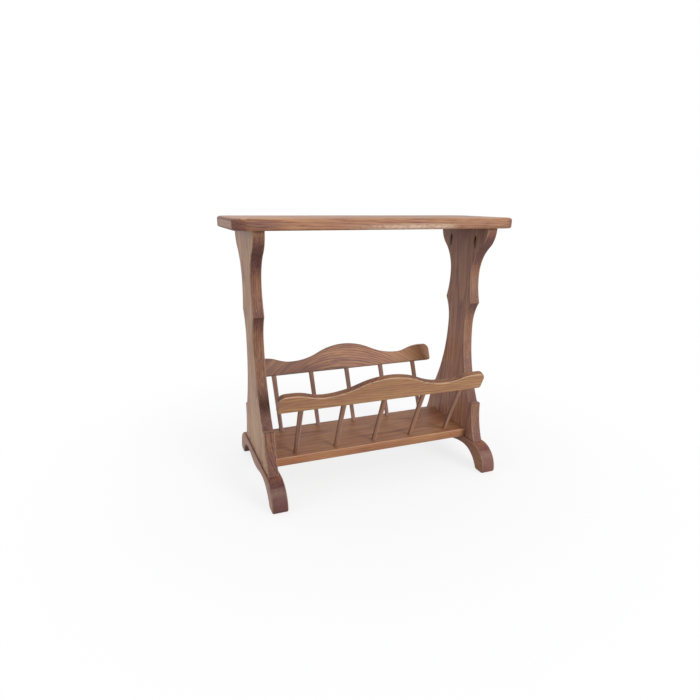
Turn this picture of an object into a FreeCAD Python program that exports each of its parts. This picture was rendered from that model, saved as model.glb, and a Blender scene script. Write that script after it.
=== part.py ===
import FreeCAD, Part
import math
import os

# A small oak side table with a magazine rack under its top: two scroll-sawn uprights on
# trestle feet carry a top and a shelf, and leaning rails on spindles make the rack.
# Frame: millimetres, +X along the table, +Y to the back, +Z up, origin on the floor
# under the middle of the top.

# Height of the whole table, and the clear span between the uprights
table_height = 560.0
span = 472.0

# Table top
top_thickness = 20.8
top_end_overhang = 35.2
top_front_overhang = 16.6
top_corner_radius = 29.0
top_upper_round = 6.0
top_lower_round = 4.0

# Uprights: thickness, full widths at the points of the outline, heights between them
upright_thickness = 23.0
head_width = 187.0
waist_width = 86.2
spur_reach = 11.0
narrow_width = 72.0
sweep_foot_width = 165.5
step_ledge = 12.8
head_height = 103.6
shank_height = 59.0
cove_height = 53.0
base_height = 90.2
head_turn = 0.4
upright_corner_ease = 2.8
upright_arris_round = 2.4

# Feet
foot_length = 337.0
foot_width = 33.3
foot_height = 58.8
foot_sole_round = 7.5
foot_pad_length = 31.0
foot_cove_run = 58.5
foot_cove_height = 40.5
foot_middle_height = 30.5
foot_heel_round = 8.0
foot_arris_round = 3.4

# Shelf, which rests on the feet between the uprights
shelf_depth = 159.0
shelf_thickness = 20.0
shelf_arris_round = 3.0

# Spindles: count on each side, places on the shelf, lean and turned diameters
spindle_count = 5
spindle_end_inset = 51.0
spindle_edge_inset = 17.6
spindle_lean = 23.8
spindle_visible_length = 131.5
spindle_foot_diameter = 9.5
spindle_head_diameter = 11.5
spindle_tenon_diameter = 8.0
shelf_socket_depth = 14.0
rail_socket_depth = 15.0

# Rails: heights of the scroll above the straight lower edge
rail_thickness = 14.0
rail_end_inset = 0.5
rail_crest_height = 62.5
rail_dip_height = 30.0
rail_end_height = 43.0
rail_dip_inset = 97.0
rail_end_flat = 14.0
rail_end_radius = 16.0
rail_lower_radius = 5.5
rail_arris_round = 3.0

# Pocket screws under the top
pocket_inset = 45.0
pocket_angle = 20.0
pocket_diameter = 9.5
pocket_web = 14.0
top_screw_length = 28.0

# Shelf screws under round plugs, and foot screws in counterbores
shelf_screw_inset = 12.5
shelf_screw_length = 45.0
plug_diameter = 10.0
plug_bore_depth = 9.0
foot_screw_spacing = 84.0
foot_screw_length = 50.0
foot_bore_depth = 6.0
foot_bore_diameter = 11.0

# Screw shape shared by all twelve screws
screw_head_diameter = 8.0
screw_head_height = 3.0
screw_shank_diameter = 4.2
screw_tip_length = 5.0
drive_width = 2.8
drive_depth = 1.8

# Fits
socket_clearance = 0.1
socket_end_gap = 0.4
screw_clearance = 0.1
plug_clearance = 0.05

# Places worked out from the sizes above
top_underside = table_height - top_thickness
upright_inner = span / 2
upright_outer = upright_inner + upright_thickness
upright_middle = upright_inner + upright_thickness / 2
top_length = 2 * (upright_outer + top_end_overhang)
top_depth = head_width + 2 * top_front_overhang
spur_width = waist_width + 2 * spur_reach
shoulder_width = sweep_foot_width + 2 * step_ledge
waist_level = top_underside - head_height
spur_level = waist_level - shank_height
narrow_level = spur_level - cove_height
step_level = foot_height + base_height
toe_radius = foot_height - foot_sole_round
foot_flat_half = foot_length / 2 - toe_radius
shelf_top = foot_height + shelf_thickness
shelf_middle = foot_height + shelf_thickness / 2
spindle_foot_offset = shelf_depth / 2 - spindle_edge_inset
spindle_pitch = (span - 2 * spindle_end_inset) / (spindle_count - 1)
rail_half_length = span / 2 - rail_end_inset
pocket_offset = head_width / 2 - pocket_inset
shelf_screw_offset = shelf_depth / 2 - shelf_screw_inset
foot_screw_seat = foot_cove_height + foot_bore_depth
screw_hole_diameter = screw_shank_diameter + 2 * screw_clearance

LEFT = -1
RIGHT = 1
FRONT = -1
BACK = 1
X_AXIS = FreeCAD.Vector(1, 0, 0)
Y_AXIS = FreeCAD.Vector(0, 1, 0)
Z_AXIS = FreeCAD.Vector(0, 0, 1)
ORIGIN = FreeCAD.Vector(0, 0, 0)
NEAR = 0.001


def tangent_arc(start, tangent, end):
    """Arc that leaves start along tangent and ends at end."""
    chord = end - start
    along = FreeCAD.Vector(chord).normalize()
    bisector = (FreeCAD.Vector(tangent).normalize() + along).normalize()
    middle = start + bisector * (chord.Length / 2 / bisector.dot(along))
    return Part.Arc(start, middle, end).toShape()


def ogee(start, tangent, end, turn=0.5):
    """Two arcs that meet at the share turn of the way, tangent to the same line at both ends."""
    inflection = start + (end - start) * turn
    back = FreeCAD.Vector(tangent) * -1
    return [tangent_arc(start, tangent, inflection), tangent_arc(end, back, inflection)]


def line(start, end):
    return Part.LineSegment(start, end).toShape()


def slab(edges, thickness):
    """Solid of an outline, extruded by the vector thickness."""
    wire = Part.Wire(Part.__sortEdges__(edges))
    return Part.Face(wire).extrude(thickness)


def edges_through(shape, places):
    """Edges along X whose ends lie at one of the (y, z) places, on both sides of the middle."""
    found = []
    for edge in shape.Edges:
        first = edge.Vertexes[0].Point
        last = edge.Vertexes[-1].Point
        if abs(first.y - last.y) > NEAR or abs(first.z - last.z) > NEAR or edge.Length < NEAR:
            continue
        for y, z in places:
            if abs(abs(first.y) - y) < NEAR and abs(first.z - z) < NEAR:
                found.append(edge)
    return found


def edges_on_faces(shape, x_values, skip_levels=()):
    """Edges that lie in a plane of constant x, apart from those at a skipped level."""
    found = []
    for edge in shape.Edges:
        box = edge.BoundBox
        flat = any(abs(box.XMin - x) < NEAR and abs(box.XMax - x) < NEAR for x in x_values)
        level = any(abs(box.ZMin - z) < NEAR and abs(box.ZMax - z) < NEAR for z in skip_levels)
        if flat and not level:
            found.append(edge)
    return found


def edges_at_level(shape, z):
    """Edges that lie in the horizontal plane at z."""
    return [edge for edge in shape.Edges
            if abs(edge.BoundBox.ZMin - z) < NEAR and abs(edge.BoundBox.ZMax - z) < NEAR]


def bore(diameter, start, direction, length):
    return Part.makeCylinder(diameter / 2, length, start, direction)


def pocket_axis(side, row):
    """Where a pocket screw's line leaves the upright's end grain, and its way into the top."""
    lean = math.radians(pocket_angle)
    start = FreeCAD.Vector(side * upright_middle, row * pocket_offset, top_underside)
    up = FreeCAD.Vector(side * math.sin(lean), 0, math.cos(lean))
    return start, up


def rack_placement(x, row):
    """Local frame of the rack: +Z up along the spindles, from where they leave the shelf."""
    turn = FreeCAD.Rotation(X_AXIS, -row * spindle_lean)
    return FreeCAD.Placement(FreeCAD.Vector(x, row * spindle_foot_offset, shelf_top), turn)


def spindle_places():
    first = -spindle_pitch * (spindle_count - 1) / 2
    return [first + index * spindle_pitch for index in range(spindle_count)]


def table_top():
    """Board with rounded corners, drilled from below for the pocket screws."""
    corner = FreeCAD.Vector(-top_length / 2, -top_depth / 2, top_underside)
    board = Part.makeBox(top_length, top_depth, top_thickness, corner)
    uprights = [edge for edge in board.Edges if edge.BoundBox.ZLength > NEAR]
    board = board.makeFillet(top_corner_radius, uprights)
    board = board.makeFillet(top_upper_round, edges_at_level(board, table_height))
    board = board.makeFillet(top_lower_round, edges_at_level(board, top_underside))
    reach = top_screw_length - pocket_web + socket_end_gap
    for side in (LEFT, RIGHT):
        for row in (FRONT, BACK):
            start, up = pocket_axis(side, row)
            below = start - up * screw_head_diameter
            board = board.cut(bore(screw_hole_diameter, below, up, reach + screw_head_diameter))
    return board


def upright_side(row):
    """Half of the upright's outline, from the head down to the foot."""
    def point(width, level):
        return FreeCAD.Vector(0, row * width / 2, level)

    head = point(head_width, top_underside)
    waist = point(waist_width, waist_level)
    spur = point(spur_width, spur_level)
    narrow = point(narrow_width, narrow_level)
    sweep_foot = point(sweep_foot_width, step_level)
    shoulder = point(shoulder_width, step_level)
    base = point(2 * foot_flat_half, foot_height)
    down = Z_AXIS * -1
    edges = ogee(head, down, waist, head_turn)
    edges.append(tangent_arc(waist, down, spur))
    edges.append(tangent_arc(narrow, Z_AXIS, spur))
    edges.append(tangent_arc(narrow, down, sweep_foot))
    edges.append(line(sweep_foot, shoulder))
    edges.append(tangent_arc(shoulder, down, base))
    return edges, head, base


def upright(side):
    """Scroll-sawn slab with eased arrises, pocket slots and plugged screw holes."""
    front_edges, front_head, front_base = upright_side(FRONT)
    back_edges, back_head, back_base = upright_side(BACK)
    edges = front_edges + back_edges + [line(front_head, back_head), line(front_base, back_base)]
    board = slab(edges, X_AXIS * upright_thickness)
    corners = [(spur_width / 2, spur_level), (sweep_foot_width / 2, step_level)]
    corners.append((shoulder_width / 2, step_level))
    board = board.makeFillet(upright_corner_ease, edges_through(board, corners))
    ends = (top_underside, foot_height)
    board = board.makeFillet(upright_arris_round, edges_on_faces(board, (0, upright_thickness), ends))
    board.translate(FreeCAD.Vector(min(side * upright_inner, side * upright_outer), 0, 0))

    inward = X_AXIS * -side
    foot_reach = foot_screw_seat + foot_screw_length + socket_end_gap - foot_height
    for row in (FRONT, BACK):
        start, up = pocket_axis(side, row)
        shoulder = start - up * pocket_web
        board = board.cut(bore(pocket_diameter, shoulder, up * -1, top_underside - waist_level))
        board = board.cut(bore(screw_hole_diameter, shoulder, up, 2 * pocket_web))

        outside = FreeCAD.Vector(side * upright_outer, row * shelf_screw_offset, shelf_middle)
        board = board.cut(bore(plug_diameter + 2 * plug_clearance, outside, inward, plug_bore_depth))
        board = board.cut(bore(screw_hole_diameter, outside, inward, upright_thickness))

        below = FreeCAD.Vector(side * upright_middle, row * foot_screw_spacing / 2, foot_height)
        board = board.cut(bore(screw_hole_diameter, below, Z_AXIS, foot_reach))
    return board


def foot_half(row):
    """Half of the foot's outline: toe, sole, heel and the cove up to the middle of the arch."""
    def point(y, z):
        return FreeCAD.Vector(0, row * y, z)

    half = foot_length / 2
    heel_y = half - foot_pad_length
    toe_top = point(foot_flat_half, foot_height)
    toe_tip = point(half, foot_sole_round)
    sole_tip = point(half - foot_sole_round, 0)
    heel = point(heel_y, 0)
    cove = point(heel_y - foot_cove_run, foot_cove_height)
    middle = point(0, foot_middle_height)
    outward = Y_AXIS * row
    edges = [tangent_arc(toe_top, outward, toe_tip), tangent_arc(toe_tip, Z_AXIS * -1, sole_tip)]
    edges.append(line(sole_tip, heel))
    edges.append(tangent_arc(cove, outward, heel))
    edges.extend(ogee(cove, outward * -1, middle))
    return edges, toe_top, heel_y


def foot(side):
    """Trestle foot with rounded toes, an arch of two coves and counterbored screw holes."""
    front_edges, front_top, heel_y = foot_half(FRONT)
    back_edges, back_top, heel_y = foot_half(BACK)
    block = slab(front_edges + back_edges + [line(front_top, back_top)], X_AXIS * foot_width)
    block = block.makeFillet(foot_heel_round, edges_through(block, [(heel_y, 0)]))
    block = block.makeFillet(foot_arris_round, edges_on_faces(block, (0, foot_width)))
    block.translate(FreeCAD.Vector(side * upright_middle - foot_width / 2, 0, 0))
    for row in (FRONT, BACK):
        floor_point = FreeCAD.Vector(side * upright_middle, row * foot_screw_spacing / 2, 0)
        block = block.cut(bore(foot_bore_diameter, floor_point, Z_AXIS, foot_screw_seat))
        block = block.cut(bore(screw_hole_diameter, floor_point, Z_AXIS, foot_height))
    return block


def shelf():
    """Board between the uprights, with angled sockets for the spindles and holes in its ends."""
    board = Part.makeBox(span, shelf_depth, shelf_thickness,
                         FreeCAD.Vector(-span / 2, -shelf_depth / 2, foot_height))
    long_edges = [edge for edge in board.Edges if edge.BoundBox.XLength > span / 2]
    board = board.makeFillet(shelf_arris_round, long_edges)
    socket_diameter = spindle_foot_diameter + 2 * socket_clearance
    for row in (FRONT, BACK):
        for x in spindle_places():
            start = FreeCAD.Vector(0, 0, -shelf_socket_depth)
            socket = bore(socket_diameter, start, Z_AXIS, shelf_socket_depth + socket_diameter)
            socket.Placement = rack_placement(x, row)
            board = board.cut(socket)
        reach = shelf_screw_length - (upright_thickness - plug_bore_depth) + socket_end_gap
        for side in (LEFT, RIGHT):
            end = FreeCAD.Vector(side * span / 2, row * shelf_screw_offset, shelf_middle)
            board = board.cut(bore(screw_hole_diameter, end, X_AXIS * -side, reach))
    return board


def spindle(x, row):
    """Turned spindle: foot in the shelf, slight taper, shoulder and tenon at the rail."""
    foot_end = -shelf_socket_depth + socket_end_gap
    tenon_end = spindle_visible_length + rail_socket_depth - socket_end_gap
    foot_radius = spindle_foot_diameter / 2
    head_radius = spindle_head_diameter / 2
    tenon_radius = spindle_tenon_diameter / 2
    profile = [
        (0, foot_end),
        (foot_radius, foot_end),
        (foot_radius, 0),
        (head_radius, spindle_visible_length),
        (tenon_radius, spindle_visible_length),
        (tenon_radius, tenon_end),
        (0, tenon_end),
    ]
    points = [FreeCAD.Vector(radius, 0, height) for radius, height in profile]
    face = Part.Face(Part.makePolygon(points + points[:1]))
    turned = face.revolve(ORIGIN, Z_AXIS, 360)
    turned.Placement = rack_placement(x, row)
    return turned


def rail_half(side):
    """Half of the rail's scroll: crest, dip, raised end and rounded corners, above the lower edge."""
    def point(x, z):
        return FreeCAD.Vector(side * x, 0, z)

    half = rail_half_length
    crest = point(0, rail_crest_height)
    dip = point(half - rail_dip_inset, rail_dip_height)
    end_crest = point(half - rail_end_radius - rail_end_flat, rail_end_height)
    end_round = point(half - rail_end_radius, rail_end_height)
    end_upper = point(half, rail_end_height - rail_end_radius)
    end_lower = point(half, rail_lower_radius)
    lower = point(half - rail_lower_radius, 0)
    outward = X_AXIS * side
    edges = ogee(crest, outward, dip) + ogee(dip, outward, end_crest)
    edges.append(line(end_crest, end_round))
    edges.append(tangent_arc(end_round, outward, end_upper))
    edges.append(line(end_upper, end_lower))
    edges.append(tangent_arc(end_lower, Z_AXIS * -1, lower))
    return edges, lower


def rail(row):
    """Scroll-topped rail, drilled along its lower edge for the spindle tenons."""
    left_edges, left_lower = rail_half(LEFT)
    right_edges, right_lower = rail_half(RIGHT)
    board = slab(left_edges + right_edges + [line(left_lower, right_lower)], Y_AXIS * rail_thickness)
    board.translate(Y_AXIS * (-rail_thickness / 2))
    outline = [edge for edge in board.Edges if edge.BoundBox.YLength < NEAR]
    board = board.makeFillet(rail_arris_round, outline)
    socket_diameter = spindle_tenon_diameter + 2 * socket_clearance
    for x in spindle_places():
        board = board.cut(bore(socket_diameter, X_AXIS * x, Z_AXIS, rail_socket_depth))
    board.translate(Z_AXIS * spindle_visible_length)
    board.Placement = rack_placement(0, row).multiply(board.Placement)
    return board


def screw(length, seat, direction):
    """Wood screw whose head bears on seat, with its point along direction."""
    shank_radius = screw_shank_diameter / 2
    head = Part.makeCylinder(screw_head_diameter / 2, screw_head_height, Z_AXIS * -screw_head_height)
    shank = Part.makeCylinder(shank_radius, length - screw_tip_length)
    tip = Part.makeCone(shank_radius, 0, screw_tip_length, Z_AXIS * (length - screw_tip_length))
    recess = Part.makeBox(drive_width, drive_width, drive_depth,
                          FreeCAD.Vector(-drive_width / 2, -drive_width / 2, -screw_head_height))
    body = head.fuse([shank, tip]).removeSplitter().cut(recess)
    body.Placement = FreeCAD.Placement(seat, FreeCAD.Rotation(Z_AXIS, direction))
    return body


def top_screws():
    found = []
    for side in (LEFT, RIGHT):
        for row in (FRONT, BACK):
            start, up = pocket_axis(side, row)
            found.append(screw(top_screw_length, start - up * pocket_web, up))
    return Part.makeCompound(found)


def shelf_screws():
    found = []
    for side in (LEFT, RIGHT):
        for row in (FRONT, BACK):
            seat_x = side * (upright_outer - plug_bore_depth)
            seat = FreeCAD.Vector(seat_x, row * shelf_screw_offset, shelf_middle)
            found.append(screw(shelf_screw_length, seat, X_AXIS * -side))
    return Part.makeCompound(found)


def foot_screws():
    found = []
    for side in (LEFT, RIGHT):
        for row in (FRONT, BACK):
            seat = FreeCAD.Vector(side * upright_middle, row * foot_screw_spacing / 2, foot_screw_seat)
            found.append(screw(foot_screw_length, seat, Z_AXIS))
    return Part.makeCompound(found)


def shelf_screw_plugs():
    """Face-grain plugs over the shelf screws, flush with the uprights' outer faces."""
    found = []
    for side in (LEFT, RIGHT):
        for row in (FRONT, BACK):
            outside = FreeCAD.Vector(side * upright_outer, row * shelf_screw_offset, shelf_middle)
            length = plug_bore_depth - screw_head_height
            found.append(Part.makeCylinder(plug_diameter / 2, length, outside, X_AXIS * -side))
    return Part.makeCompound(found)


nodes = {
    "table_top": table_top(),
    "left_upright": upright(LEFT),
    "right_upright": upright(RIGHT),
    "left_foot": foot(LEFT),
    "right_foot": foot(RIGHT),
    "shelf": shelf(),
    "front_rail": rail(FRONT),
    "back_rail": rail(BACK),
    "top_screws": top_screws(),
    "shelf_screws": shelf_screws(),
    "shelf_screw_plugs": shelf_screw_plugs(),
    "foot_screws": foot_screws(),
}
for row, row_name in ((FRONT, "front"), (BACK, "back")):
    for number, x in enumerate(spindle_places(), start=1):
        nodes[f"{row_name}_spindle_{number}"] = spindle(x, row)

os.makedirs("parts", exist_ok=True)
for name, shape in nodes.items():
    shape.exportStep(f"parts/{name}.step")
    print(f"{name}: solids {len(shape.Solids)}, valid {shape.isValid()}, volume {shape.Volume:.0f} mm3")
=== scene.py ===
import math

import bmesh
import bpy
from mathutils import Matrix, Vector


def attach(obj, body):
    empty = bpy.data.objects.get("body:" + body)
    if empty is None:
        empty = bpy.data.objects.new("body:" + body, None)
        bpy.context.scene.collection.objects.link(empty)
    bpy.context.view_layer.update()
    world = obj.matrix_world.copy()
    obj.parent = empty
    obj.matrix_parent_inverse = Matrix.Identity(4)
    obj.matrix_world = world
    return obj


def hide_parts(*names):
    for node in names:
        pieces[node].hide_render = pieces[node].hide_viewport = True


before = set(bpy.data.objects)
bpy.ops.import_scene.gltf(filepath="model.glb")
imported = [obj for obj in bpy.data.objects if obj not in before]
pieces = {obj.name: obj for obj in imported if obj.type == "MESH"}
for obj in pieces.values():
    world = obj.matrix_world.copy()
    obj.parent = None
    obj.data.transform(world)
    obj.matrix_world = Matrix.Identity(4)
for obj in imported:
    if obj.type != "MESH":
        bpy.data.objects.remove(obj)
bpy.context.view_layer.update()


# Feet. Two trestle feet, band-sawn from thick oak with the grain along their length, so that
# the rounded toes and heels show end grain. The arrises are rounded over, and the whole table
# is stained brown before its satin varnish.

mm = 0.001


def stain(red, green, blue):
    """A finished colour as it is seen, 0 to 255, turned into the shader's linear colour."""
    def linear(value):
        share = value / 255
        return share / 12.92 if share <= 0.04045 else ((share + 0.055) / 1.055) ** 2.4
    return (linear(red), linear(green), linear(blue), 1.0)


def place(tree, kind, values=None, **settings):
    """Puts a node in a tree and fills its sockets with plain values or with other sockets."""
    node = tree.nodes.new(kind)
    for name, setting in settings.items():
        setattr(node, name, setting)
    for key, value in (values or {}).items():
        if isinstance(value, bpy.types.NodeSocket):
            tree.links.new(value, node.inputs[key])
        else:
            node.inputs[key].default_value = value
    return node


def parted(tree, vector):
    """The X, Y and Z of a vector."""
    return place(tree, "ShaderNodeSeparateXYZ", {0: vector}).outputs


def reckon(tree, operation, *values):
    """One step of arithmetic."""
    return place(tree, "ShaderNodeMath", dict(enumerate(values)), operation=operation).outputs[0]


def product(tree, first, *others):
    """All the values multiplied."""
    total = first
    for value in others:
        total = reckon(tree, "MULTIPLY", total, value)
    return total


def weighed(tree, start, *shares):
    """start plus each value times its share."""
    total = start
    for value, share in shares:
        total = reckon(tree, "MULTIPLY_ADD", value, share, total)
    return total


def soft_step(tree, value, low, high):
    """0 to 1 as value goes from low to high."""
    step = {"Value": value, "From Min": low, "From Max": high}
    return place(tree, "ShaderNodeMapRange", step, interpolation_type="SMOOTHSTEP").outputs[0]


def within(tree, value, low, high):
    """The value, kept between low and high."""
    return reckon(tree, "MINIMUM", reckon(tree, "MAXIMUM", value, low), high)


def ramp(tree, value, stops):
    """A colour ramp with a colour at each place."""
    node = place(tree, "ShaderNodeValToRGB", {"Fac": value})
    elements = node.color_ramp.elements
    while len(elements) < len(stops):
        elements.new(0.5)
    for element, (position, colour) in zip(elements, stops):
        element.position = position
        element.color = colour
    return node.outputs["Color"]


def tinted(tree, share, colour, tint, way="MULTIPLY"):
    """A colour mixed with a share of a tint."""
    first, second, mixed = 6, 7, 2
    mix = place(tree, "ShaderNodeMix", {0: share, first: colour, second: tint}, data_type="RGBA", blend_type=way)
    return mix.outputs[mixed]


def drawn_noise(tree, point, along, across, detail=2.0, roughness=0.5):
    """Noise drawn out along the grain, by its changes in a metre along and across."""
    drawn = place(tree, "ShaderNodeVectorMath", {0: point, 1: (along, across, across)}, operation="MULTIPLY")
    values = {"Vector": drawn.outputs[0], "Scale": 1.0, "Detail": detail, "Roughness": roughness}
    return place(tree, "ShaderNodeTexNoise", values).outputs[0]


def effect(name, takes, gives):
    """An empty node group with its sockets."""
    tree = bpy.data.node_groups.new(name, "ShaderNodeTree")
    for label, kind in takes.items():
        tree.interface.new_socket(label, in_out="INPUT", socket_type="NodeSocket" + kind)
    for label, kind in gives.items():
        tree.interface.new_socket(label, in_out="OUTPUT", socket_type="NodeSocket" + kind)
    return tree, tree.nodes.new("NodeGroupInput").outputs, tree.nodes.new("NodeGroupOutput")


def hand_out(tree, result, found):
    """Joins what was found to the group's outputs."""
    for label, socket in found.items():
        tree.links.new(socket, result.inputs[label])


def make_oak_figure():
    """Solid oak, with x along the grain: rings round a pith, pores in each ring's early wood, streaks."""
    tree, given, result = effect(
        "oak_figure",
        {"Point": "Vector", "Pith": "Vector", "Ring Width": "Float", "Waver": "Float", "Board": "Float"},
        {"Rings": "Float", "Pores": "Float", "Streaks": "Float", "Cloud": "Float"})
    apart = (1.31, 0.57, 0.83)
    away = place(tree, "ShaderNodeVectorMath", {0: apart, "Scale": given["Board"]}, operation="SCALE")
    own = place(tree, "ShaderNodeVectorMath", {0: given["Point"], 1: away.outputs[0]}).outputs[0]
    point = parted(tree, given["Point"])
    pith = parted(tree, given["Pith"])

    across = reckon(tree, "SUBTRACT", point["Y"], pith["Y"])
    deep = reckon(tree, "SUBTRACT", point["Z"], pith["Z"])
    squares = reckon(tree, "MULTIPLY_ADD", across, across, product(tree, deep, deep))
    waver = reckon(tree, "SUBTRACT", drawn_noise(tree, own, along=1.9, across=8.0), 0.5)
    ripple = reckon(tree, "SUBTRACT", drawn_noise(tree, own, along=10.0, across=42.0), 0.5)
    ripple_size = 2.4 * mm
    out = weighed(tree, reckon(tree, "SQRT", squares), (point["X"], pith["X"]), (waver, given["Waver"]),
                  (ripple, ripple_size))
    years = reckon(tree, "DIVIDE", out, given["Ring Width"])
    year = place(tree, "ShaderNodeTexWhiteNoise", {"W": reckon(tree, "FLOOR", years)}, noise_dimensions="1D")
    dark, darkish, palish, pale = [(grey, grey, grey, 1) for grey in (1, 0.80, 0.16, 0)]
    season = ramp(tree, reckon(tree, "FRACT", years),
                  [(0.0, dark), (0.12, darkish), (0.42, palish), (0.88, pale), (1.0, dark)])
    early = product(tree, season, weighed(tree, 0.45, (year.outputs["Value"], 0.55)))

    dashes = soft_step(tree, drawn_noise(tree, own, along=36.0, across=1300.0, detail=1.0), 0.53, 0.68)
    broad = drawn_noise(tree, own, along=2.8, across=130.0, detail=3.0, roughness=0.6)
    fine = drawn_noise(tree, own, along=24.0, across=560.0, detail=3.0, roughness=0.6)
    hand_out(tree, result, {
        "Rings": early,
        "Pores": product(tree, dashes, weighed(tree, 0.2, (early, 0.8))),
        "Streaks": weighed(tree, -0.5, (broad, 0.38), (fine, 0.62)),
        "Cloud": reckon(tree, "SUBTRACT", drawn_noise(tree, own, along=5.0, across=12.0), 0.5),
    })
    return tree


def make_stained_oak():
    """Brown stain and varnish: pores and edges cut across the grain drink more, arrises are rubbed paler and carry
    a painted highlight.
    """
    tree, given, result = effect(
        "stained_oak",
        {"Rings": "Float", "Pores": "Float", "Streaks": "Float", "Cloud": "Float", "Facing": "Vector",
         "Tone": "Float", "Contrast": "Float", "Redness": "Float", "Plum": "Float", "Sawn": "Float",
         "Wear And Highlight": "Float", "Planed End": "Float", "Bare And Highlight": "Float"},
        {"Colour": "Color", "Roughness": "Float", "Relief": "Float"})
    rings, pores, streaks, cloud = [given[label] for label in ("Rings", "Pores", "Streaks", "Cloud")]
    size = place(tree, "ShaderNodeVectorMath", {0: given["Facing"]}, operation="ABSOLUTE")
    facing = parted(tree, size.outputs[0])
    square_end = product(tree, soft_step(tree, facing["X"], 0.95, 1.0), given["Planed End"])
    end = product(tree, soft_step(tree, facing["X"], 0.08, 0.55), weighed(tree, 1.0, (square_end, -0.95)))
    sawn = product(tree, soft_step(tree, facing["Z"], 0.88, 0.5), given["Sawn"],
                   weighed(tree, 1.0, (square_end, -0.6)))
    arris = product(tree, soft_step(tree, facing["Z"], 0.2, 0.6), soft_step(tree, facing["Z"], 1.0, 0.75))
    # Paler arrises: partly rubbed varnish, partly a painted highlight on the rounded edges.
    rubbed_and_highlit = product(tree, arris, within(tree, weighed(tree, given["Wear And Highlight"], (cloud, 2.0)), 0.0, 1.0))

    lightest, tan, brown, darkest = stain(196, 152, 107), stain(168, 122, 85), stain(135, 96, 77), stain(87, 63, 56)
    red_stain = (1.06, 0.87, 0.84, 1)
    plum_stain = (0.97, 0.95, 1.42, 1)
    # Edges cut across the grain take more stain and turn darker; the bluish cast of these two tints is painted
    # shade.
    sawn_stain_and_shade = (0.57, 0.53, 0.63, 1)
    end_stain_and_shade = (0.62, 0.58, 0.80, 1)
    # A painted sheen: flat end faces screened pale grey.
    planed_end_sheen = (0.0, 0.02, 0.03, 1)
    # Painted highlight and wear on the arrises, screened over the stain.
    rub_and_highlight_tint = (0.25, 0.205, 0.15, 1)
    # Pale wood for the worn front edge of the top, and for the painted highlight on the toes.
    bare_wood_and_highlight = stain(216, 190, 166)

    grain = weighed(tree, 0.0, (rings, 0.30), (streaks, 1.5), (pores, 0.45))
    depth = weighed(tree, given["Tone"], (grain, given["Contrast"]), (cloud, 0.5))
    colour = ramp(tree, depth, [(0.0, lightest), (0.35, tan), (0.66, brown), (1.0, darkest)])
    red = weighed(tree, given["Redness"], (cloud, 2.2), (streaks, 1.2))
    plum = weighed(tree, given["Plum"], (cloud, 1.0), (streaks, 2.0), (sawn, -0.9))
    colour = tinted(tree, within(tree, red, 0.0, 1.0), colour, red_stain)
    colour = tinted(tree, within(tree, plum, 0.0, 1.0), colour, plum_stain)
    # Darker, bluish edges: more stain plus painted shade.
    colour = tinted(tree, sawn, colour, sawn_stain_and_shade)
    colour = tinted(tree, end, colour, end_stain_and_shade)
    # Painted sheen on flat end faces.
    colour = tinted(tree, square_end, colour, planed_end_sheen, "SCREEN")
    # Arrises screened paler: wear plus a painted highlight.
    colour = tinted(tree, rubbed_and_highlit, colour, rub_and_highlight_tint, "SCREEN")
    # Bare wood where the top's edge is worn, and a painted highlight on the toes.
    colour = tinted(tree, given["Bare And Highlight"], colour, bare_wood_and_highlight, "MIX")
    hand_out(tree, result, {
        "Colour": colour,
        "Roughness": weighed(tree, 0.43, (rings, 0.06), (pores, 0.14), (end, 0.10), (sawn, 0.14), (cloud, 0.10),
                             (given["Bare And Highlight"], 0.2)),
        "Relief": weighed(tree, 0.5, (pores, -0.7), (rings, -0.22), (streaks, 0.25)),
    })
    return tree


oak_figure = make_oak_figure()
stained_oak = make_stained_oak()
grain_relief = 0.35 * mm


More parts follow.
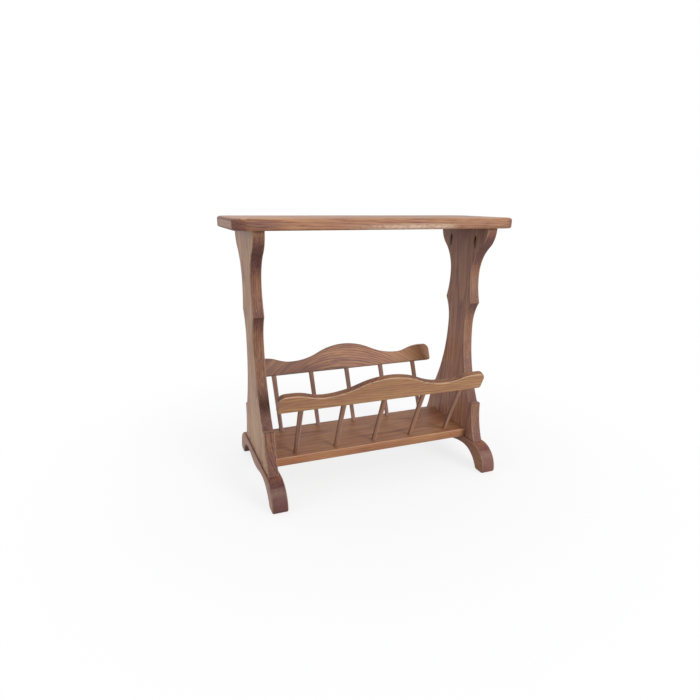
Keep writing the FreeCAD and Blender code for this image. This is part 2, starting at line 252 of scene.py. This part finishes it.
def oak(name, grain, face, centre, pith, tone, board, redness=0.4, plum=0.0, ring_width=4.2 * mm, waver=26 * mm,
        sawn=1.0, wear_and_highlight=0.5, contrast=1.0, planed_end=1.0, shine=0.26, staves=None, darker=None, bared_and_highlit=None,
        drift=0.0, arch=0.0):
    """Material of one board: the ways of its grain and face, its middle, where its pith lay, and its stain."""
    material = bpy.data.materials.new(name)
    material.use_nodes = True
    tree = material.node_tree
    along = Vector(grain).normalized()
    outward = Vector(face).normalized()
    turn = Matrix((along, outward.cross(along), outward))
    where = place(tree, "ShaderNodeTexCoord").outputs
    point = place(tree, "ShaderNodeMapping", {"Vector": where["Object"], "Location": -(turn @ Vector(centre)),
                                              "Rotation": turn.to_euler()}).outputs[0]
    facing = place(tree, "ShaderNodeMapping", {"Vector": where["Normal"], "Rotation": turn.to_euler()},
                   vector_type="VECTOR").outputs[0]
    finish = place(tree, "ShaderNodeGroup", node_tree=stained_oak)
    tree.links.new(facing, finish.inputs["Facing"])
    if bared_and_highlit:
        tree.links.new(bared_and_highlit(tree, point, facing), finish.inputs["Bare And Highlight"])

    along_grain = parted(tree, point)["X"]
    depth = weighed(tree, tone, (along_grain, drift))
    if darker:
        depth = weighed(tree, depth, (darker(tree, point, facing), 0.4))
    if staves:
        glued = place(tree, "ShaderNodeGroup", node_tree=glued_staves)
        tree.links.new(point, glued.inputs["Point"])
        glued.inputs["Stave Width"].default_value = staves
        glued.inputs["Board"].default_value = board
        depth = weighed(tree, depth, (glued.outputs["Tone"], 0.10), (glued.outputs["Seam"], 0.35))
        point = glued.outputs["Point"]
    if arch:
        fall = product(tree, along_grain, along_grain, arch)
        bent = place(tree, "ShaderNodeCombineXYZ", {"Y": fall}).outputs[0]
        point = place(tree, "ShaderNodeVectorMath", {0: point, 1: bent}).outputs[0]
    tree.links.new(depth, finish.inputs["Tone"])

    figure = place(tree, "ShaderNodeGroup", node_tree=oak_figure)
    tree.links.new(point, figure.inputs["Point"])
    for label, value in {"Pith": pith, "Ring Width": ring_width, "Waver": waver, "Board": board}.items():
        figure.inputs[label].default_value = value
    for label in ("Rings", "Pores", "Streaks", "Cloud"):
        tree.links.new(figure.outputs[label], finish.inputs[label])
    for label, value in {"Contrast": contrast, "Redness": redness, "Plum": plum, "Sawn": sawn, "Wear And Highlight": wear_and_highlight,
                         "Planed End": planed_end}.items():
        finish.inputs[label].default_value = value

    shader = tree.nodes["Principled BSDF"]
    tree.links.new(finish.outputs["Colour"], shader.inputs["Base Color"])
    tree.links.new(finish.outputs["Roughness"], shader.inputs["Roughness"])
    bump = place(tree, "ShaderNodeBump", {"Height": finish.outputs["Relief"], "Strength": 0.35,
                                          "Distance": grain_relief})
    tree.links.new(bump.outputs[0], shader.inputs["Normal"])
    shader.inputs["Specular IOR Level"].default_value = shine
    shader.inputs["Coat Weight"].default_value = 0.04
    shader.inputs["Coat Roughness"].default_value = 0.25
    return material


def dress(name, material):
    """Gives a CAD piece its material."""
    for slot in pieces[name].material_slots:
        slot.material = material


def painted_toe_highlight(tree, point, facing):
    """A painted highlight: a pale band where the top of the toe turns down."""
    size = place(tree, "ShaderNodeVectorMath", {0: facing}, operation="ABSOLUTE")
    outward = parted(tree, size.outputs[0])["X"]
    upward = parted(tree, facing)["Y"]
    turning = product(tree, soft_step(tree, outward, 0.56, 0.66), soft_step(tree, outward, 0.92, 0.70))
    on_top = soft_step(tree, upward, 0.0, 0.2)
    ragged = soft_step(tree, drawn_noise(tree, point, along=90.0, across=90.0, detail=3.0), 0.1, 0.7)
    strength = 0.18
    return product(tree, turning, on_top, ragged, strength)


lengthways = (1, 0, 0)
backwards = (0, 1, 0)
upwards = (0, 0, 1)
upright_middle = 247.5 * mm
foot_middle = 30 * mm
# The pale band on each toe is a painted highlight.
dress("left_foot", oak(
    "left_foot_oak", backwards, lengthways, (-upright_middle, 0, foot_middle), pith=(0.02, -55 * mm, 14 * mm),
    tone=0.55, board=1.0, redness=0.6, plum=-0.6, sawn=0.75, contrast=0.6, planed_end=0.0, bared_and_highlit=painted_toe_highlight))
dress("right_foot", oak(
    "right_foot_oak", backwards, lengthways, (upright_middle, 0, foot_middle), pith=(-0.015, -48 * mm, -20 * mm),
    tone=0.40, board=2.0, redness=0.65, sawn=0.5, contrast=0.7, planed_end=0.0, bared_and_highlit=painted_toe_highlight))


# Uprights. Two scroll-sawn slabs glued up from three staves each, with the grain running up and
# down. Their curved edges are sawn across the grain at the head, spur and step, so they take
# more stain than the faces. Pocket holes under the head are bored from inside.

def make_glued_staves():
    """A wide board glued from three staves: each has its own wood and tone, with a thin line at the joint."""
    tree, given, result = effect(
        "glued_staves", {"Point": "Vector", "Stave Width": "Float", "Board": "Float"},
        {"Point": "Vector", "Tone": "Float", "Seam": "Float"})
    point = parted(tree, given["Point"])
    staves = reckon(tree, "DIVIDE", point["Y"], given["Stave Width"])
    nearest = within(tree, reckon(tree, "ROUND", staves), -1.0, 1.0)
    across = reckon(tree, "SUBTRACT", staves, nearest)
    number = weighed(tree, nearest, (given["Board"], 7.0))
    chance = place(tree, "ShaderNodeTexWhiteNoise", {"W": number}, noise_dimensions="1D").outputs
    moved_along, moved_across, moved_deep = place(tree, "ShaderNodeSeparateColor", {0: chance["Color"]}).outputs
    own = place(tree, "ShaderNodeCombineXYZ", {
        "X": weighed(tree, point["X"], (moved_along, 1.9)),
        "Y": weighed(tree, -15 * mm, (across, given["Stave Width"]), (moved_across, 30 * mm)),
        "Z": weighed(tree, point["Z"], (moved_deep, 24 * mm)),
    })
    off = reckon(tree, "ABSOLUTE", reckon(tree, "SUBTRACT", reckon(tree, "ABSOLUTE", staves), 0.5))
    from_joint = product(tree, off, given["Stave Width"])
    hand_out(tree, result, {
        "Point": own.outputs[0],
        "Tone": reckon(tree, "SUBTRACT", chance["Value"], 0.5),
        "Seam": soft_step(tree, from_joint, 0.5 * mm, 0.1 * mm),
    })
    return tree


glued_staves = make_glued_staves()
outer_left = (-1, 0, 0)
upright_half_way_up = 300 * mm
upright_stave = 60 * mm
dress("left_upright", oak(
    "left_upright_oak", upwards, outer_left, (-upright_middle, 0, upright_half_way_up),
    pith=(0.02, 6 * mm, -46 * mm), tone=0.25, board=3.0, redness=0.0, plum=-0.3, wear_and_highlight=0.4, contrast=1.5,
    staves=upright_stave))
# Its stronger plum tint is partly painted shade: the bluish cast of its shaded inner face.
dress("right_upright", oak(
    "right_upright_oak", upwards, outer_left, (upright_middle, 0, upright_half_way_up),
    pith=(-0.02, 4 * mm, -52 * mm), tone=0.25, board=4.0, redness=-0.2, plum=0.8, sawn=0.85, wear_and_highlight=0.5,
    staves=upright_stave))


# Foot screws. Four zinc-plated steel wood screws with pan heads and square drives, driven up
# through counterbores in the feet into the end grain of the uprights.

head_radius = 4.0 * mm
head_height = 3.0 * mm
pan_head = [(2.3 * mm, -head_height), (3.1 * mm, -2.8 * mm), (3.7 * mm, -2.2 * mm), (head_radius, -1.2 * mm),
            (head_radius, -0.2 * mm), (3.85 * mm, 0)]
drive_half_width = 1.4 * mm
drive_depth = 1.8 * mm
shank_radius = 2.1 * mm
plain_share = 0.32
neck_length = 0.8 * mm
core_radius = 1.45 * mm
point_length = 5.0 * mm
tip_radius = 0.2 * mm
thread_pitch = 1.8 * mm
thread_half_width = 0.55 * mm
thread_root = core_radius - 0.1 * mm
thread_steps = 16
sides = 24
screw_axis = {"cent": (0, 0, 0), "axis": (0, 0, 1)}
full_turn = 2 * math.pi
sharp_angle = math.radians(35)


def wood_screw(length):
    """A screw whose head bears at z = 0 and whose point is at z = length."""
    form = bmesh.new()
    bmesh.ops.create_grid(form, x_segments=sides // 4, y_segments=sides // 4, size=drive_half_width,
                          matrix=Matrix.Translation((0, 0, -head_height)))
    mouth = form.faces[:]
    sunk = bmesh.ops.extrude_face_region(form, geom=mouth)["geom"]
    bmesh.ops.translate(form, vec=(0, 0, drive_depth),
                        verts=[part for part in sunk if isinstance(part, bmesh.types.BMVert)])
    bmesh.ops.delete(form, geom=[face for face in mouth if face.is_valid], context="FACES")
    rim = [edge for edge in form.edges if edge.is_boundary]

    plain = plain_share * length
    outline = pan_head + [
        (shank_radius, 0), (shank_radius, plain), (core_radius, plain + neck_length),
        (core_radius, length - point_length), (tip_radius, length - tip_radius), (0, length)]
    chain = [form.verts.new((radius, 0, height)) for radius, height in outline]
    chain += [form.edges.new(pair) for pair in zip(chain, chain[1:])]
    bmesh.ops.spin(form, geom=chain, **screw_axis, angle=full_turn, steps=sides, use_merge=True)
    bmesh.ops.remove_doubles(form, verts=form.verts, dist=0.001 * mm)
    ring = [edge for edge in form.edges if edge.is_boundary and edge not in rim]
    bmesh.ops.bridge_loops(form, edges=rim + ring)

    body = set(form.verts)
    start = plain + thread_pitch
    turns = int((length - start - 0.3 * point_length) / thread_pitch)
    profile = [(thread_root, -thread_half_width), (shank_radius, 0), (thread_root, thread_half_width)]
    ridge = form.faces.new([form.verts.new((radius, 0, start + height)) for radius, height in profile])
    bmesh.ops.spin(form, geom=[ridge], **screw_axis, dvec=(0, 0, thread_pitch / thread_steps),
                   angle=full_turn * turns, steps=thread_steps * turns)
    for vert in form.verts:
        past = (vert.co.z - length + point_length) / point_length
        if vert not in body and past > 0:
            vert.co.x *= 1 - past
            vert.co.y *= 1 - past
    bmesh.ops.recalc_face_normals(form, faces=form.faces)
    return form


def drive(name, node, length, places):
    """The screws of one joint as one piece, each with its seat and the way that its point goes."""
    whole = bmesh.new()
    for seat, way in places:
        one = wood_screw(length)
        turn = Vector(upwards).rotation_difference(Vector(way)).to_matrix().to_4x4()
        bmesh.ops.transform(one, matrix=Matrix.Translation(seat) @ turn, verts=one.verts)
        single = bpy.data.meshes.new("one_screw")
        one.to_mesh(single)
        one.free()
        whole.from_mesh(single)
        bpy.data.meshes.remove(single)
    mesh = bpy.data.meshes.new(name)
    whole.to_mesh(mesh)
    whole.free()
    mesh.shade_smooth()
    mesh.set_sharp_from_angle(angle=sharp_angle)
    mesh.materials.append(screw_zinc)
    piece = bpy.data.objects.new(name, mesh)
    scene.collection.objects.link(piece)
    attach(piece, "root")
    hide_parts(node)


def zinc(name, rust):
    """Zinc plating with dull clouds and a share of rust in small spots."""
    dull_grey, bright_grey, rust_brown = stain(152, 150, 144), stain(198, 196, 190), stain(120, 84, 60)
    material = bpy.data.materials.new(name)
    material.use_nodes = True
    tree = material.node_tree
    where = place(tree, "ShaderNodeTexCoord").outputs["Object"]
    dull = place(tree, "ShaderNodeTexNoise", {"Vector": where, "Scale": 900.0, "Detail": 3.0}).outputs[0]
    patches = place(tree, "ShaderNodeTexNoise", {"Vector": where, "Scale": 340.0}).outputs[0]
    spots = soft_step(tree, patches, 0.56, 0.7)
    colour = ramp(tree, dull, [(0.3, dull_grey), (0.7, bright_grey)])
    colour = tinted(tree, product(tree, spots, rust), colour, rust_brown, "MIX")
    shader = tree.nodes["Principled BSDF"]
    tree.links.new(colour, shader.inputs["Base Color"])
    tree.links.new(weighed(tree, 0.24, (dull, 0.22), (spots, 0.2)), shader.inputs["Roughness"])
    shader.inputs["Metallic"].default_value = 1.0
    return material


scene = bpy.context.scene
corners = [(side, row) for side in (-1, 1) for row in (-1, 1)]
screw_zinc = zinc("screw_zinc", rust=0.35)
foot_screw_length = 50 * mm
foot_screw_row = 42 * mm
counterbore_end = 46.5 * mm
drive("foot_wood_screws", "foot_screws", foot_screw_length,
      [((side * upright_middle, row * foot_screw_row, counterbore_end), upwards) for side, row in corners])


# Shelf. The floor of the rack: three oak staves glued edge to edge, with the grain along the
# table, lying on the feet between the uprights. Its varnish has gone dull under the magazines.

shelf_heart = (0, 0, 69 * mm)
dress("shelf", oak(
    "shelf_oak", lengthways, upwards, shelf_heart, pith=(0.02, 10 * mm, -38 * mm), tone=0.40, board=5.0,
    redness=0.4, plum=-0.3, sawn=0.0, contrast=0.65, shine=0.12, staves=64 * mm))


# Shelf screws and plugs. A screw goes through each upright into the shelf's end at two places,
# and a round oak plug, turned across the grain and stained dark, covers each head.

shelf_screw_length = 45 * mm
shelf_screw_seat = 250 * mm
shelf_screw_row = 67 * mm
shelf_middle = 68.8 * mm
plug_grain = (0, 0.3, 1)
drive("shelf_wood_screws", "shelf_screws", shelf_screw_length,
      [((side * shelf_screw_seat, row * shelf_screw_row, shelf_middle), (-side, 0, 0)) for side, row in corners])
dress("shelf_screw_plugs", oak(
    "plug_oak", plug_grain, backwards, shelf_heart, pith=(0.0, 12 * mm, 30 * mm), tone=0.62, board=6.0,
    ring_width=2.5 * mm))


# Spindles. Ten turned oak rods, five on each side, slightly thicker at the top. Each is glued
# into an angled socket in the shelf, and its tenon into the rail above.

lean = math.radians(23.8)
shelf_top = 78.8 * mm
spindle_row = 61.9 * mm
for row, side, redness, plum, tones in (
        ("front", -1, 0.3, 0.4, (0.58, 0.47, 0.42, 0.44, 0.48)),
        ("back", 1, 0.0, 0.5, (0.64, 0.58, 0.52, 0.56, 0.42))):
    up_spindle = Vector((0, side * math.sin(lean), math.cos(lean)))
    spindle_foot = (0, side * spindle_row, shelf_top)
    for number, tone in enumerate(tones, 1):
        spindle = f"{row}_spindle_{number}"
        dress(spindle, oak(
            f"{spindle}_oak", up_spindle, lengthways, spindle_foot, pith=(0.01, 20 * mm, 24 * mm), tone=tone,
            board=7.0 + side, redness=redness, plum=plum, ring_width=3.2 * mm, sawn=0.0))


# Rails. Two thin oak boards with a scroll-sawn upper edge and rounded arrises, drilled along
# the lower edge for the spindles' tenons. They lean outward with the spindles. The back one's
# figure rises in an arch.

rail_row = 127 * mm
rail_height = 226 * mm
own_stain = {
    "front": {"pith": (0.03, -40 * mm, -34 * mm), "tone": 0.21, "board": 8.0, "redness": -0.15},
    "back": {"pith": (0.03, -34 * mm, -20 * mm), "tone": 0.45, "board": 20.0, "redness": 0.5, "plum": -0.6,
             "contrast": 1.4, "drift": -1.2, "arch": 2.1},
}
for row, side in (("front", -1), ("back", 1)):
    rail_face = (0, -math.cos(lean), side * math.sin(lean))
    rail_middle = (0, side * rail_row, rail_height)
    dress(f"{row}_rail", oak(
        f"{row}_rail_oak", lengthways, rail_face, rail_middle, ring_width=4.0 * mm, waver=30 * mm, sawn=0.8,
        **own_stain[row]))


# Table top. Three oak staves glued edge to edge, with the grain along the table, rounded
# corners and rounded-over arrises. Its edges next to the left corners are darker, and the front edge is
# worn through to bare wood along its lower half.

def darker_left_corner(tree, point, facing):
    """1 on the edges next to the left corners, half as much round the corners themselves."""
    left = product(tree, parted(tree, point)["X"], -1.0)
    patch = weighed(tree, soft_step(tree, left, 185 * mm, 225 * mm),
                    (soft_step(tree, left, 262 * mm, 286 * mm), -0.5))
    level = reckon(tree, "ABSOLUTE", parted(tree, facing)["Z"])
    on_edge = soft_step(tree, level, 1.0, 0.2)
    return product(tree, patch, on_edge)


def worn_edge(tree, point, facing):
    """A ragged pale band on the lower half of the front edge, from the middle to the right."""
    spot = parted(tree, point)
    in_front = soft_step(tree, parted(tree, facing)["Y"], -0.3, -0.8)
    begins = soft_step(tree, spot["X"], -120 * mm, 40 * mm)
    ends = soft_step(tree, spot["X"], 160 * mm, 120 * mm)
    low = soft_step(tree, spot["Z"], 2.5 * mm, -4 * mm)
    ragged = soft_step(tree, drawn_noise(tree, point, along=110.0, across=420.0, detail=3.0), 0.2, 0.62)
    strength = 0.7
    return product(tree, in_front, begins, ends, low, ragged, strength)


top_heart = (0, 0, 549.6 * mm)
dress("table_top", oak(
    "table_top_oak", lengthways, upwards, top_heart, pith=(0.02, 8 * mm, -44 * mm), tone=0.18, board=11.0,
    redness=0.6, sawn=0.55, wear_and_highlight=0.1, contrast=1.15, staves=73.4 * mm, darker=darker_left_corner, bared_and_highlit=worn_edge,
    drift=0.3))


# Top screws. Four screws stand at an angle in the pocket holes and draw the top down onto the
# uprights, through the web of wood that is left above each pocket.

top_screw_length = 28 * mm
pocket_lean = math.radians(20)
pocket_row = 48.5 * mm
pocket_web = 14 * mm
under_top = 539.2 * mm
pocket_seats = []
for side, row in corners:
    way = Vector((side * math.sin(pocket_lean), 0, math.cos(pocket_lean)))
    pocket_seats.append((Vector((side * upright_middle, row * pocket_row, under_top)) - pocket_web * way, way))
drive("top_wood_screws", "top_screws", top_screw_length, pocket_seats)


# Studio. A plain white floor, a white surround that gives more light from behind, a wide soft
# key lamp from the right front and a weaker one from the left.

def light_seen(tree):
    """1 where the camera, a reflection or glass looks at the surround, 0 where it lights the object."""
    path = place(tree, "ShaderNodeLightPath").outputs
    seen = reckon(tree, "MAXIMUM", path["Is Camera Ray"], path["Is Glossy Ray"])
    return reckon(tree, "MAXIMUM", seen, path["Is Transmission Ray"])


white = (1, 1, 1, 1)
cool_white = (0.97, 0.98, 1.04, 1)
scene.view_settings.view_transform = "Standard"
surround = bpy.data.worlds.new("surround")
scene.world = surround
surround.use_nodes = True
tree = surround.node_tree
seen = light_seen(tree)
sky = tree.nodes["Background"].inputs
tree.links.new(ramp(tree, seen, [(0.0, cool_white), (1.0, white)]), sky["Color"])
way = place(tree, "ShaderNodeTexCoord").outputs["Generated"]
behind = reckon(tree, "MAXIMUM", parted(tree, way)["Y"], 0.0)
light_all_round = 0.55
more_from_behind = 0.5
light = weighed(tree, light_all_round, (behind, more_from_behind))
tree.links.new(reckon(tree, "MAXIMUM", light, seen), sky["Strength"])

floor_half_width = 6.0
sheet = bmesh.new()
bmesh.ops.create_grid(sheet, x_segments=2, y_segments=2, size=floor_half_width)
floor_mesh = bpy.data.meshes.new("floor")
sheet.to_mesh(floor_mesh)
sheet.free()
floor = bpy.data.objects.new("floor", floor_mesh)
scene.collection.objects.link(floor)

paper_white = (0.96, 0.96, 0.96, 1)
bounce_grey = (0.30, 0.30, 0.30, 1)
floor_white = bpy.data.materials.new("floor_white")
floor_white.use_nodes = True
tree = floor_white.node_tree
where = place(tree, "ShaderNodeTexCoord").outputs["Object"]
reach = place(tree, "ShaderNodeVectorMath", {0: where}, operation="LENGTH").outputs["Value"]
paper = tree.nodes["Principled BSDF"]
seen = light_seen(tree)
tree.links.new(ramp(tree, seen, [(0.0, bounce_grey), (1.0, paper_white)]), paper.inputs["Base Color"])
paper.inputs["Roughness"].default_value = 0.9
paper.inputs["Specular IOR Level"].default_value = 0.1
glow = place(tree, "ShaderNodeEmission", {"Color": white, "Strength": weighed(tree, 0.15, (seen, 0.85))})
fade = weighed(tree, 0.78, (soft_step(tree, reach, 0.25, 0.9), 0.22))
joined = place(tree, "ShaderNodeMixShader", {0: fade, 1: paper.outputs[0], 2: glow.outputs[0]})
tree.links.new(joined.outputs[0], tree.nodes["Material Output"].inputs["Surface"])
floor_mesh.materials.append(floor_white)

table_heart = (0.0, 0, 0.28)


def lamp(name, stands_at, width, watts, colour):
    """A square soft lamp that shines on the table."""
    light = bpy.data.lights.new(name, "AREA")
    light.color = colour
    light.size = width
    light.energy = watts
    holder = bpy.data.objects.new(name, light)
    way = Vector(table_heart) - Vector(stands_at)
    holder.matrix_world = Matrix.Translation(stands_at) @ way.to_track_quat("-Z", "Y").to_matrix().to_4x4()
    scene.collection.objects.link(holder)


lamp("key_lamp", (1.55, -3.45, 1.25), width=1.6, watts=112.0, colour=(1, 1, 1))
lamp("side_lamp", (-1.9, -0.2, 0.75), width=1.2, watts=7.0, colour=(1, 0.96, 0.80))

picture_width = 700
focal_length = 524.5
rise = 55
film_width = 36.0
lens_data = bpy.data.cameras.new("photo_camera")
lens_data.sensor_width = film_width
lens_data.lens = focal_length / picture_width * film_width
lens_data.shift_y = rise / picture_width
camera_place = (-0.4509, -1.0614, 0.5884)
turned_right = math.radians(-21.433)
tipped_up = math.radians(90 - 21.181)
rolled = math.radians(0.513)
camera = bpy.data.objects.new("photo_camera", lens_data)
camera.matrix_world = (
    Matrix.Translation(camera_place)
    @ Matrix.Rotation(turned_right, 4, "Z")
    @ Matrix.Rotation(tipped_up, 4, "X")
    @ Matrix.Rotation(rolled, 4, "Z"))
scene.collection.objects.link(camera)
scene.camera = camera
